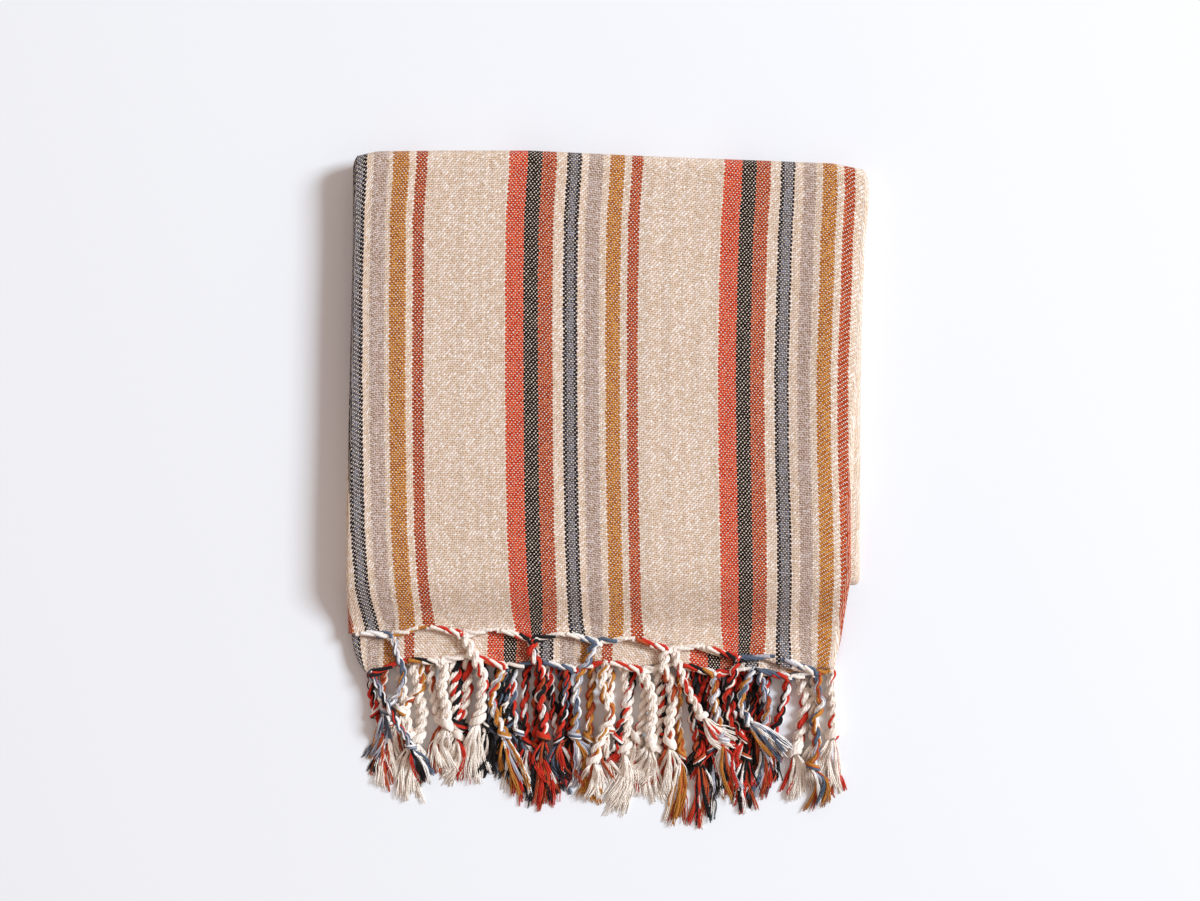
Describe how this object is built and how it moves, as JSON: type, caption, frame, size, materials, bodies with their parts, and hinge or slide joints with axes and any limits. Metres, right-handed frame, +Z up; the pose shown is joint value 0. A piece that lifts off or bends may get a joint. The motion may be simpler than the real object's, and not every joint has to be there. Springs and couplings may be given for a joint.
{
  "type": "folded hammam towel",
  "caption": "Flat-woven striped cotton hammam towel, folded into a flat square stack with its twisted and knotted fringe along the lower edge",
  "frame": {"origin": "middle of the bounding box, on the surface that the towel lies on", "axes": "+X across the folded towel, along its hems; +Y away from the fringe, along the stripes; +Z up from the surface"},
  "size_m": [0.344, 0.4438, 0.0231],
  "materials": {
    "striped_cotton": "matt plain weave with ivory weft and coloured warp stripes",
    "fringe_cotton": "matt cords of twisted cotton yarns with knots and loose tufts"
  },
  "bodies": {
    "root": {"towel_cloth": "striped_cotton", "fringe_front": "fringe_cotton", "fringe_back": "fringe_cotton"}
  },
  "joints": []
}
